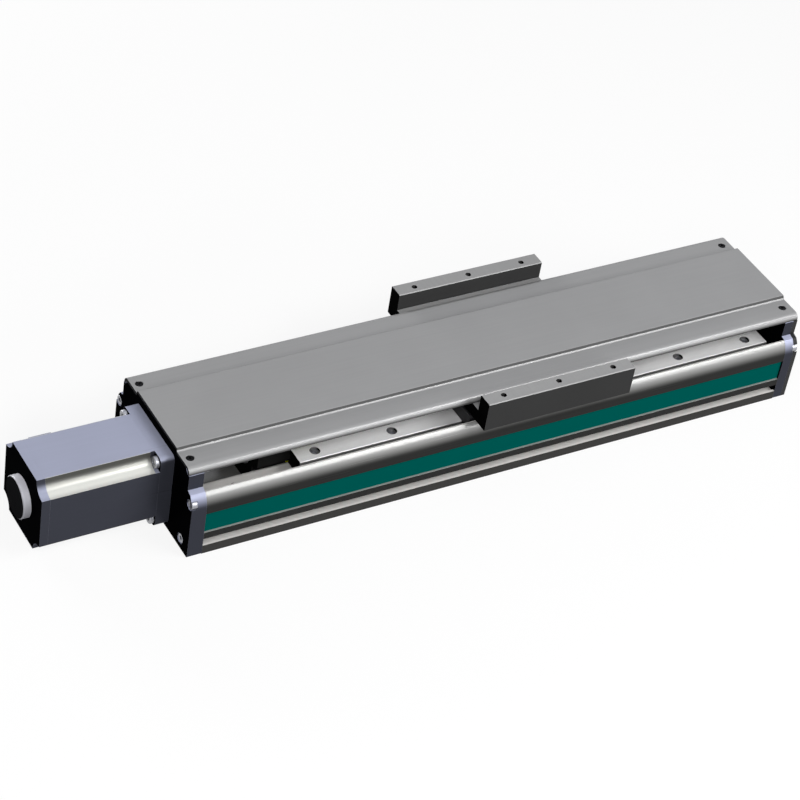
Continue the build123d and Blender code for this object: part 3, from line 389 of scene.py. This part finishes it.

# %% [markdown]
# Aluminium shows how it was shaped. Drawn profiles have long faint lines and a satin gloss, milled plates a dull
# sheen across, and turned caps rings round their axis. Anodising dulls all of them and gives some a tint, so
# their metallic share is low and their colour is nearly the one that is written.

# %% Aluminium
# side and end below are painted shade: the share of the level that upright flanks and faces along X keep
finish = {
    # the base: satin grey with faint long lines, round shoulders darkened by painted shade, and painted light
    # on its inside and slot lips, which are also duller
    "extrusion_aluminium": metal(
        "clear_anodised_drawn_aluminium", "#a6a6a4", 0.25, drawn, metallic=0.35, side=0.078, end=0.3,
        lean=shoulder_lean, streak=0.04, lift=0.0004, wear=0.08,
        spot=painted_light_inside, spot_shade="#dcdad7", spot_metallic=0.1),
    # the cover: flat satin grey sheet, with a line of painted shade along each side of its raised middle,
    # no metallic share there, and painted shade on its upright flanks
    "cover_aluminium": metal(
        "satin_anodised_cover", "#9b9b9b", 0.32, drawn, metallic=0.25, side=0.30, end=0.3,
        lean=round_lean, streak=0.035, lift=0.0004, wear=0.1,
        spot=painted_shade_step, spot_shade="#5a5a5a", spot_metallic=0.0),
    # the carriage and the nut's bracket: dull milled plates with cutter lines across and bright worn edges
    "carriage_aluminium": metal(
        "milled_carriage_aluminium", "#9b9b9b", 0.42, milled, metallic=0.15, side=0.14, end=0.05),
    "bracket_aluminium": metal(
        "milled_bracket_aluminium", "#a2a2a2", 0.42, milled, metallic=0.20, side=0.40, end=0.3),
    # the end plates: even blue grey, painted almost black as shade where they face along the module
    "end_plate_aluminium": metal(
        "blue_grey_anodised_plate", "#abafc5", 0.36, ground, metallic=0.20, side=0.11, end=0.03, streak=0.03),
    # the motor: the same blue grey, with pale bare metal in the hollow corners
    "motor_grey": metal(
        "blue_grey_motor_aluminium", "#a4a8bc", 0.30, drawn, metallic=0.20, side=0.14, end=0.03,
        lean=soft_lean, streak=0.03, lift=0.0003, spot=scallop, spot_shade="#cfcfc8", spot_metallic=0.5),
    # the encoder's cap: nearly white, with fine rings, and its flat end painted almost black as shade
    "encoder_aluminium": metal(
        "turned_cap_aluminium", "#f0f0f8", 0.30, turned, metallic=0.25, side=0.8, end=0.02, streak=0.04),
}
print("aluminium finishes:", len(finish))

# %% [markdown]
# Ground and polished steel are paler and glossier than aluminium, because a fine stone leaves them almost smooth.
# Black oxide is a thin layer that stays dark in a highlight and wears off at the edges.

# %% Steel and the other metals
# side and end are painted shade here too, on upright flanks and on faces along X
finish |= {
    # the rails: pale, with long grinding lines, and flanks and ends darkened by painted shade
    "rail_steel": metal(
        "ground_rail_steel", "#e8e8e8", 0.34, drawn, metallic=0.10, side=0.20, end=0.03, streak=0.03, wear=0.1),
    # the slider blocks: darker and duller, with the same lines
    "block_steel": metal("ground_block_steel", "#b8b8b8", 0.32, drawn, metallic=0.40, side=0.50),
    # the bearings, their rings and nut, and the motor's shaft: clear highlights on almost smooth steel
    "bearing_steel": metal(
        "polished_bearing_steel", "#b8b8b8", 0.20, ground, metallic=0.80, streak=0.04, lift=0.0005),
    "shaft_steel": metal("turned_shaft_steel", "#b8b8b8", 0.22, turned, metallic=0.90),
    # the screws: bluish zinc, which is bright, or black oxide with edges that are only a little paler
    "steel_screws": metal("zinc_plated_screws", "#a2a3a8", 0.32, ground, metallic=0.80, streak=0.05),
    "black_screws": metal("black_oxide_screws", "#1a1a1b", 0.32, ground, metallic=0.60, wear=0.08),
    # the ball nut and the buffer's washer: the same oxide, turned, so that a highlight runs round them
    "black_steel": metal("black_oxide_steel", "#161616", 0.35, turned, metallic=0.50, wear=0.08),
    # the bearing blocks: dark grey anodising, dull and even
    "black_block": metal(
        "black_anodised_block", "#3a3a3a", 0.38, milled, metallic=0.20, side=0.40, end=0.4, wear=0.06),
    # the ball screw: an even red tint over ground steel, with one highlight along each turn
    "ball_screw_steel": metal(
        "red_tinted_ground_screw", "#e07672", 0.30, turned, metallic=0.30, streak=0.02, lift=0.0002, wear=0.05),
    # the coupling's hubs: turned, with a soft highlight round them
    "coupling_aluminium": metal(
        "turned_coupling_aluminium", "#b4b5b8", 0.34, turned, metallic=0.50, side=0.7, streak=0.03, lift=0.0004),
    # the motor's core: brown varnish over stacked sheets, which leave deep rings
    "motor_core": metal("varnished_motor_core", "#4a4038", 0.50, turned, metallic=0.20, lift=0.02),
}
print("metal finishes:", len(finish))

# %% [markdown]
# ## Plastics and rubber
# Moulded parts copy the fine eroded grain of their mould, a few hundredths of a millimetre deep. Its pits are
# about 0.1 mm wide and are drawn some six times as wide, so that they show.
# The teal strips are drawn smooth, and the cast polyurethane buffers have a soft gloss and a faint cloudiness.

# %% Moulded plastic and rubber
plastic_blotch, plastic_edge, plastic_gloss_range = 30, 0.25, 0.05  # mm, mm and roughness


def plastic(name, shade, rough, grain, lift=0.01, cloud=0.06, specular=0.3):
    """Plastic with an even grain of grain mm. colour = shade * clouds, and height = lift mm * pits. With the pits
    stretched to run from -0.5 to 0.5, roughness = rough + 2 * plastic_gloss_range * pits."""
    material, tree, output, place = begin(name)[:4]
    pits = add(tree, "ShaderNodeTexNoise", {"Vector": place, "Scale": 1 / (grain * mm), "Detail": 2.0}).outputs[0]
    level = clouds(tree, place, plastic_blotch, cloud)
    tone = add(tree, "ShaderNodeVectorMath", {0: light(shade)[:3], "Scale": level}, operation="SCALE")
    gloss = add(tree, "ShaderNodeMapRange", {
        0: pits, 1: soft_low, 2: soft_high, 3: rough - plastic_gloss_range, 4: rough + plastic_gloss_range})
    round_edge = add(tree, "ShaderNodeBevel", {"Radius": plastic_edge * mm}, samples=4)
    bump = add(tree, "ShaderNodeBump", {
        "Height": pits, "Distance": lift * mm, "Strength": 1.0, "Normal": round_edge.outputs[0]})
    skin = add(tree, "ShaderNodeBsdfPrincipled", {
        "Base Color": tone.outputs[0], "Roughness": gloss.outputs[0], "Specular IOR Level": specular,
        "Normal": bump.outputs[0]})
    tree.links.new(skin.outputs[0], output.inputs["Surface"])
    return material


# %% Plastics and rubber
finish |= {
    # the side strips: smooth, flat colour without a highlight
    "teal_strip": plastic("smooth_teal_pvc", "#005953", 0.34, 1.2, lift=0.0005, cloud=0.03, specular=0.0),
    # the moulded caps and the plug: dull, with the fine pits of the mould
    "black_cap": plastic("black_abs_cap", "#0c0c0e", 0.45, 0.7),
    "end_cap_plastic": plastic("black_nylon_end_cap", "#18181a", 0.48, 0.6),
    "plug_plastic": plastic("grey_connector_nylon", "#a4a6ba", 0.45, 0.6),
    # the buffers: cast, so nearly smooth, with a soft gloss and faint clouds
    "yellow_buffer": plastic("cast_yellow_polyurethane", "#d8dc06", 0.32, 1.0, lift=0.004, cloud=0.12),
    # the coupling's star: deep red, a little duller
    "coupling_rubber": plastic("red_coupling_polyurethane", "#9c1f1a", 0.40, 0.8),
}
print("all finishes:", len(finish))

# %% [markdown]
# The record says which finish each plain piece takes. Most of the plain pieces have the right shape, so they stay,
# and only their material changes.

# %% Finishes go on the frame's pieces
slot_of = {}
for part in frame["record"]["subparts"]:
    slot_of[part["node"]] = part["material_slot"]
    nodes[part["node"]].data.materials.clear()
    nodes[part["node"]].data.materials.append(finish[part["material_slot"]])
print("pieces with a finish:", len(slot_of))

# %% [markdown]
# ## Meshes from numbers
# A new piece is one array of points and one of faces. The points of a surface lie on a grid of rings and columns,
# so its faces follow from their places in the grid. Where the grid meets itself, its double points are merged.
# A piece takes the body, the finish and the place of the plain piece that it stands for.

# %% Grids
def grid_faces(rings, columns, copies=1):
    """Quads of copies grids of rings by columns points: each point, the next round, both on the ring after."""
    ring, column, copy = np.meshgrid(np.arange(rings - 1), np.arange(columns - 1), np.arange(copies), indexing="ij")
    first = (copy * rings + ring) * columns + column
    return np.stack([first, first + 1, first + columns + 1, first + columns], axis=-1).reshape(-1, 4)


print("faces of a grid of 3 by 5 points:", len(grid_faces(3, 5)))

# %% Pieces
double_reach = 0.002  # mm, points nearer than this are one


def piece(name, points, faces, stands_for=None, body="base", slot=None, sharp=35):
    """A mesh in millimetres made an object in metres: doubles are merged, and it is smooth but for edges that turn
    by more than sharp degrees."""
    mesh = bpy.data.meshes.new(name)
    mesh.vertices.add(len(points))
    mesh.vertices.foreach_set("co", (np.asarray(points) * mm).ravel())
    mesh.loops.add(faces.size)
    mesh.loops.foreach_set("vertex_index", faces.ravel().astype(np.int32))
    mesh.polygons.add(len(faces))
    mesh.polygons.foreach_set("loop_start", np.arange(len(faces), dtype=np.int32) * 4)
    mesh.update(calc_edges=True)
    shape = bmesh.new()
    shape.from_mesh(mesh)
    bmesh.ops.remove_doubles(shape, verts=shape.verts, dist=double_reach * mm)
    shape.to_mesh(mesh)
    shape.free()
    mesh.polygons.foreach_set("use_smooth", np.ones(len(mesh.polygons), dtype=bool))
    mesh.set_sharp_from_angle(angle=radians(sharp))
    slot = slot or slot_of[stands_for]
    mesh.materials.append(finish[slot])
    made = bpy.data.objects.new(name, mesh)
    scene.collection.objects.link(made)
    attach(made, body)
    if stands_for:
        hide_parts(stands_for)
    print(name, len(mesh.vertices), "points", len(mesh.polygons), "faces")


# %% [markdown]
# ## Cap screws
# A socket head cap screw is turned, knurled round its head, and has a hexagonal socket pressed into its top.
# A lathe gives all but the socket. Here each ring of the profile may also be pulled from a circle towards
# a hexagon, so that one grid makes the whole screw, and all the screws of a kind are made at once.

# %% Turned shapes
def turned_points(profile, places, axis, columns=72, knurl=0.02):
    """A turned shape at each place, along axis. Rows of the profile are height, radius, hexagon and knurled.
    radius at angle t = radius * (1 + hexagon * (1 / cos((t + 30 deg) mod 60 deg - 30 deg) - 1)), less a share
    knurl at every second column of a knurled ring."""
    height, radius, hexagon, knurled = np.array(profile, float).T[:, :, None]
    angle = np.linspace(0, 2 * pi, columns + 1)
    flat = 1 / np.cos((angle + pi / 6) % (pi / 3) - pi / 6)
    notch = 1 - knurl * knurled * (np.arange(columns + 1) % 2)
    reach = radius * (1 + hexagon * (flat - 1)) * notch
    axis = np.array(axis, float)
    first = np.roll(np.abs(axis), 1)
    second = np.cross(axis, first)
    round_it = np.cos(angle)[:, None] * first + np.sin(angle)[:, None] * second
    shape = height[:, :, None] * axis + reach[:, :, None] * round_it
    return np.array(places, float)[:, None, None, :] + shape


def turned_piece(name, groups, body, stands_for=None, slot=None):
    """One piece of one or more groups of turned shapes, each a copies x rings x columns array of points."""
    points = np.concatenate([group.reshape(-1, 3) for group in groups])
    faces, before = [], 0
    for group in groups:
        copies, rings, columns = group.shape[:3]
        faces.append(grid_faces(rings, columns, copies) + before)
        before += copies * rings * columns
    piece(name, points, np.concatenate(faces), stands_for, body, slot)


# %% The profile of a cap screw
socket_mouth, cone_slope = 0.62, 0.1  # of the key: the mouth's radius, and the depth of the cone in the floor


def cap_screw(size, length, key):
    """Rings from the tip to the floor of the socket. Heights start at the underside of the head, key is the width
    across the socket's flats, and the socket is 0.55 of the head deep."""
    shank, head, tall = size
    bevel, rim, lead_in = 0.4, 0.25, 0.15
    floor_height = 0.45 * tall
    return [
        (-length, 0, 0, 0), (-length, shank - bevel, 0, 0), (bevel - length, shank, 0, 0), (0, shank, 0, 0),
        (0, head - rim, 0, 0), (rim, head, 0, 1), (tall - rim, head, 0, 1), (tall, head - rim, 0, 0),
        (tall, socket_mouth * key, 0, 0), (tall - lead_in, key / 2, 1, 0), (floor_height, key / 2, 1, 0),
        (floor_height - cone_slope * key, 0, 1, 0)]


# the radius of the shank, and the radius and height of the head, of each size that the module has
m3, m4, m5, m5_low = (1.5, 2.8, 1.7), (2.0, 3.5, 4.0), (2.5, 4.25, 5.0), (2.5, 4.25, 2.8)
print("rings of a cap screw:", len(cap_screw(m4, 13, 3)))

# %% [markdown]
# Each screw stands in the middle of its hole, so its place is the hole's in the plain model, in millimetres, and
# its head lies on the face that it holds down. Most holes lie in pairs, one on either side of a middle.

# %% Places in pairs
up, down, forward, backward = (0, 0, 1), (0, 0, -1), (1, 0, 0), (-1, 0, 0)
both_ways = np.array([-1, 1])


def either_side(middles, reach):
    """Each middle less the reach, then plus it."""
    return (np.array(middles)[:, None] + reach * both_ways).ravel()


def spots(xs, ys, zs):
    """Every x with every y with every z."""
    return np.stack(np.meshgrid(xs, ys, zs, indexing="ij"), axis=-1).reshape(-1, 3)


print("13 mm on either side of 40 and of 80:", either_side([40, 80], 13))

# %% Screws of the carriage and the rails
slider_blocks, slider_hole = [-2.3, 59.7], 13.0  # the blocks' middles along X, and their holes' way from there
rail_out, rail_holes = 35.7, np.arange(-144, 217, 60)
carriage_seat, rail_seat = 60.5, 38.7            # the heights that the heads stand at
carriage_holes = spots(
    either_side(slider_blocks, slider_hole), either_side([-rail_out, rail_out], slider_hole), carriage_seat)
turned_piece("cap_screws_of_carriage", [turned_points(cap_screw(m4, length=13, key=3), carriage_holes, up)],
             "carriage", "carriage_screws", "steel_screws")
turned_piece("cap_screws_of_rails", [turned_points(
    cap_screw(m4, length=15.2, key=3), spots(rail_holes, rail_out * both_ways, rail_seat), up)],
    "base", "rail_screws")

# %% Screws of the end plates and the motor
plate_face = 243.2
plate_pairs = [(56.2, 45.0), (48.3, 8.3)]  # how far out and how high: the upper and the lower pair
corners = np.concatenate([spots(0, out * both_ways, height) for out, height in plate_pairs])
turned_piece("cap_screws_of_end_plates", [
    turned_points(cap_screw(m4, length=14.7, key=3), corners + [-plate_face, 0, 0], backward),
    turned_points(cap_screw(m4, length=14.7, key=3), corners + [plate_face, 0, 0], forward)],
    "base", "end_plate_screws")
flange_back, motor_out = -257.5, 24.75
turned_piece("cap_screws_of_motor", [turned_points(
    cap_screw(m5_low, length=18, key=3),
    spots(flange_back, motor_out * both_ways, axis_height + motor_out * both_ways), backward)],
    "base", "motor_screws")

# %% Screws of the nut and the buffers
nut_face, nut_circle = -39.7, 17.5
sixth = radians(30) + np.arange(6) * pi / 3
nut_holes = np.stack(
    [np.full(6, nut_face), nut_circle * np.cos(sixth), axis_height + nut_circle * np.sin(sixth)], axis=-1)
turned_piece("cap_screws_of_nut", [turned_points(cap_screw(m4, length=13.7, key=3), nut_holes, backward)],
             "carriage", "nut_screws", "steel_screws")
near_face, near_out, near_height = -149.5, 19.0, 41.56
far_face, far_out = 193.6, 9.48
turned_piece("cap_screws_of_buffers", [
    turned_points(cap_screw(m4, length=14.5, key=3), spots(near_face, near_out * both_ways, near_height), forward),
    turned_points(cap_screw(m3, length=16.9, key=2),
                  spots(far_face, far_out * both_ways, axis_height + far_out * both_ways), backward)],
    "base", "buffer_screws")

# %% Screws from below, and the cover's
bearing_blocks, block_hole, block_out, block_seat = [-169.0, 218.75], 7.5, 12.0, 5.5
turned_piece("cap_screws_of_bearing_blocks", [turned_points(
    cap_screw(m5, length=12.5, key=4),
    spots(either_side(bearing_blocks, block_hole), block_out * both_ways, block_seat), down)],
    "base", "bearing_block_screws")
bracket_middle, bracket_hole, bracket_out, bracket_seat = [-0.48], 6.5, 14.0, 49.6
turned_piece("cap_screws_of_nut_bracket", [turned_points(
    cap_screw(m4, length=13.9, key=3),
    spots(either_side(bracket_middle, bracket_hole), bracket_out * both_ways, bracket_seat), down)],
    "carriage", "nut_bracket_screws")
cover_holes, cover_out, cover_seat = [-242.0, 240.25], 39.9, 69.3
turned_piece("cap_screws_of_cover", [turned_points(
    cap_screw(m3, length=8.3, key=2), spots(cover_holes, cover_out * both_ways, cover_seat), up)],
    "cover", "cover_screws")

# %% [markdown]
# A set screw has no head. It holds a coupling's hub on its shaft, and its socket is open at its top end. The same
# turned grid makes it, with the socket cut straight into the shank.

# %% Set screws
def set_screw(radius, length, key):
    """Rings of a headless screw, from its tip to the floor of its socket. Heights start at its top."""
    bevel, lead_in, deep = 0.4, 0.15, 2.0
    return [
        (-length, 0, 0, 0), (-length, radius - bevel, 0, 0), (bevel - length, radius, 0, 0), (-bevel, radius, 0, 0),
        (0, radius - bevel, 0, 0), (0, socket_mouth * key, 0, 0), (-lead_in, key / 2, 1, 0), (-deep, key / 2, 1, 0),
        (-deep - cone_slope * key, 0, 1, 0)]


motor_hub, screw_hub, hub_top = -226.45, -199.95, 49.0
turned_piece("set_screws_of_coupling", [
    turned_points(set_screw(radius=2.0, length=6.9, key=2), [(motor_hub, 0, hub_top)], up),
    turned_points(set_screw(radius=2.0, length=8.9, key=2), [(screw_hub, 0, hub_top)], up)],
    "screw", "coupling_screws")

# %% [markdown]
# ## The ball screw
# The balls of the nut run in one helical groove, ground into a round bar with a lead of 10 mm. A thread could be
# made with a Screw modifier, but its ends would be open. Here the grid itself is sheared: each row of points
# climbs one lead in a turn, so a row runs along the groove and its edges stay crisp. Rows that climb past an end
# are held at it, and the turned ends of the bar carry on from there.

# %% Rows that climb
bar_start, bar_end, bar_radius = -158.0, 211.0, 7.6
lead, groove_half, groove_depth = 10.0, 1.75, 0.9
columns = 60
turn_angle = np.linspace(0, 2 * pi, columns + 1)
climb = lead * turn_angle / (2 * pi)
in_lead = np.array([-1.75, -1.45, -0.9, 0.0, 0.9, 1.45, 1.75, 2.6, 5.0, 7.4])  # close together across the groove
first_lead, last_lead = int(bar_start // lead) - 1, int(bar_end // lead) + 1
rows = (np.arange(first_lead, last_lead + 1)[:, None] * lead + in_lead).ravel()
print("rows:", len(rows), "of", columns, "columns")


# %% A bar with a helical groove
def groove_radius(x, climbed):
    """radius = bar radius - depth * sqrt(1 - (p / half width) ** 2), where p is the way from the groove's middle."""
    from_middle = (x - climbed + lead / 2) % lead - lead / 2
    return bar_radius - groove_depth * np.sqrt(np.clip(1 - (from_middle / groove_half) ** 2, 0, 1))


bar_x = np.clip(rows[:, None] + climb, bar_start, bar_end)
bar_r = groove_radius(bar_x, climb)
# places along X and radii: a bevelled journal and a wider step on the motor's side, and a journal on the far side
ends_low = np.array([(-207.0, 0.0), (-207.0, 4.6), (-206.6, 5.0), (-189.5, 5.0), (-189.5, 5.7), (-189.2, 6.0),
                     (bar_start, 6.0)])
ends_high = np.array([(bar_end, 5.0), (222.6, 5.0), (223.0, 4.6), (223.0, 0.0)])
all_x = np.concatenate([ends_low[:, :1] + 0 * climb, bar_x, ends_high[:, :1] + 0 * climb])
all_r = np.concatenate([ends_low[:, 1:] + 0 * climb, bar_r, ends_high[:, 1:] + 0 * climb])
points = np.stack([all_x, all_r * np.cos(turn_angle), axis_height + all_r * np.sin(turn_angle)], axis=-1)
piece("grooved_ball_screw", points.reshape(-1, 3), grid_faces(len(all_x), columns + 1), "ball_screw", "screw")

# %% [markdown]
# ## Bearings
# A ball bearing shows its balls and the cage that spaces them, between two rings. The plain model has
# one solid ring for both. A ball is a grid of its two angles, and the cage is a short tube.

# %% Balls in a cage
def ball_points(x, circle, radius, count, rings=9, columns=16):
    """count balls of a radius on a circle about the axis: x + radius * cos(a), out and round by radius * sin(a)."""
    pole, spin = np.meshgrid(np.linspace(0, pi, rings), np.linspace(0, 2 * pi, columns + 1), indexing="ij")
    ball = radius * np.stack([-np.cos(pole), np.sin(pole) * np.cos(spin), np.sin(pole) * np.sin(spin)], axis=-1)
    station = np.arange(count) * 2 * pi / count
    middle = np.stack([np.full(count, x), circle * np.cos(station), axis_height + circle * np.sin(station)], axis=-1)
    return middle[:, None, None, :] + ball


def cage_points(x, half_width, inner, outer):
    """A tube: its profile goes round a rectangle and closes."""
    ring = [(-half_width, inner, 0, 0), (-half_width, outer, 0, 0), (half_width, outer, 0, 0),
            (half_width, inner, 0, 0), (-half_width, inner, 0, 0)]
    return turned_points(ring, [(x, 0, axis_height)], forward)


# %% Bearings
ball_radius, ball_count = 1.6, 15
cage_half_width, cage_half_wall = 2.6, 0.5


def bearing(name, middles, circle, stands_for):
    """The balls and cages of bearings with their middles at these x, and their balls on a circle of this radius."""
    groups = [ball_points(x, circle, ball_radius, ball_count) for x in middles]
    groups += [cage_points(x, cage_half_width, circle - cage_half_wall, circle + cage_half_wall) for x in middles]
    turned_piece(name, groups, "base", stands_for)


bearing("balls_of_fixed_bearings", middles=[-173.0, -163.0], circle=11.0, stands_for="fixed_bearing_balls")
bearing("balls_of_far_bearing", middles=[215.5], circle=10.0, stands_for="far_bearing_balls")

# %% [markdown]
# ## Pins of the motor's plug
# The motor takes its power and sends its position through a socket on its rear side. A bare socket looks
# unfinished from behind, so it gets two rows of contact pins, turned like the screws.

# %% Pins
pin_depth, pin_radius, tip_long, tip_radius = 6.2, 0.55, 0.4, 0.25
pin = [(-pin_depth, 0, 0, 0), (-pin_depth, pin_radius, 0, 0), (-tip_long, pin_radius, 0, 0),
       (0, tip_radius, 0, 0), (0, 0, 0, 0)]
plug_middle, plug_face, pin_pitch, row_half = -311.0, 42.0, 3.5, 2.3
pin_places = spots(plug_middle + pin_pitch * np.arange(-1, 2), plug_face, axis_height + row_half * both_ways)
turned_piece("pins_of_motor_plug", [turned_points(pin, pin_places, (0, 1, 0), columns=24)],
             "base", slot="steel_screws")
